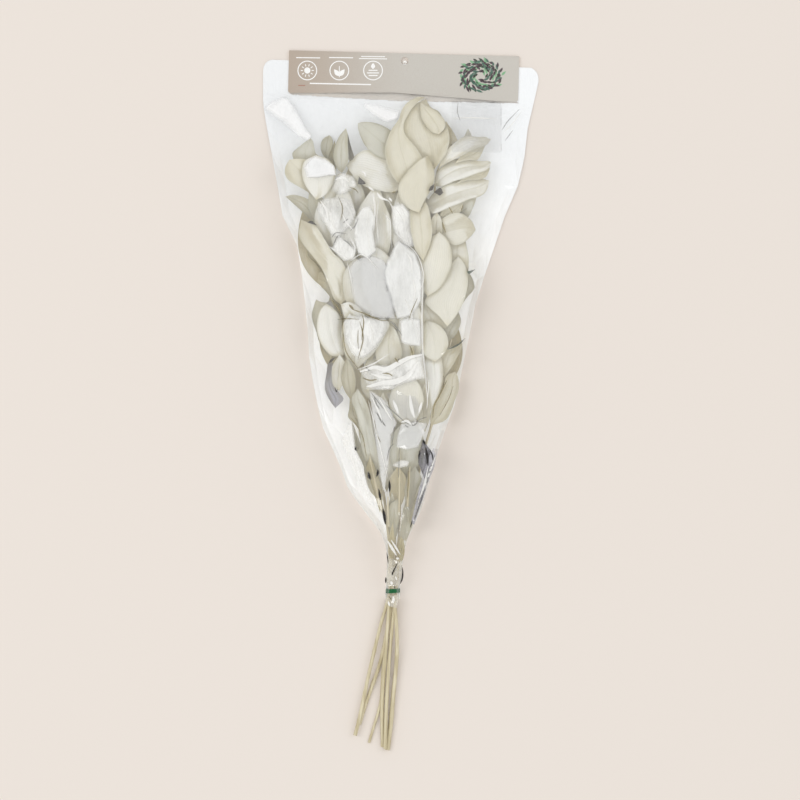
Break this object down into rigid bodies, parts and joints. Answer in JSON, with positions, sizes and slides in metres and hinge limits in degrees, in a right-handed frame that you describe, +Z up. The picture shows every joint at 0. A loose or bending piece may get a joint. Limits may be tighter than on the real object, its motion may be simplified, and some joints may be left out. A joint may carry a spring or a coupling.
{
  "type": "tied bunch of preserved ruscus stems in a clear sleeve",
  "caption": "Bunch of ivory preserved ruscus stems with broad pointed leaves, lying in a tapered clear film sleeve with a folded header card and an elastic tie.",
  "frame": {"origin": "centre of the bunch's outline on the surface it lies on", "axes": "+Y from the cut stem ends to the header card, +X to the right seen from above, +Z up from the surface"},
  "size_m": [0.276, 0.7015, 0.0423],
  "materials": {
    "card": "uncoated taupe card with a pale inner face",
    "film": "clear glossy film with creases",
    "label": "clear self-adhesive patch",
    "band": "green elastic",
    "stem": "bleached smooth stem, matt",
    "leaf": "bleached ivory leaf with fine parallel veins, satin"
  },
  "bodies": {
    "root": {"header_card": "card", "front_film": "film", "back_film": "film", "clear_label": "label", "neck_band": "band", "stem_1": "stem", "stem_2": "stem", "stem_3": "stem", "stem_4": "stem", "stem_5": "stem", "stem_6": "stem", "back_leaf_1": "leaf", "back_leaf_2": "leaf", "back_leaf_3": "leaf", "back_leaf_4": "leaf", "back_leaf_5": "leaf", "back_leaf_6": "leaf", "back_leaf_7": "leaf", "back_leaf_8": "leaf", "leaf_01": "leaf", "leaf_02": "leaf", "leaf_03": "leaf", "leaf_04": "leaf", "leaf_05": "leaf", "leaf_06": "leaf", "leaf_07": "leaf", "leaf_08": "leaf", "leaf_09": "leaf", "leaf_10": "leaf", "leaf_11": "leaf", "leaf_12": "leaf", "leaf_13": "leaf", "leaf_14": "leaf", "leaf_15": "leaf", "leaf_16": "leaf", "leaf_17": "leaf", "leaf_18": "leaf", "leaf_19": "leaf", "leaf_20": "leaf", "leaf_21": "leaf", "leaf_22": "leaf", "leaf_23": "leaf", "leaf_24": "leaf", "leaf_25": "leaf", "leaf_26": "leaf", "leaf_27": "leaf", "leaf_28": "leaf", "leaf_29": "leaf", "leaf_30": "leaf", "leaf_31": "leaf", "leaf_32": "leaf", "leaf_33": "leaf", "leaf_34": "leaf", "leaf_35": "leaf", "leaf_36": "leaf", "leaf_37": "leaf", "leaf_38": "leaf", "leaf_39": "leaf", "leaf_40": "leaf", "leaf_41": "leaf"}
  },
  "joints": []
}
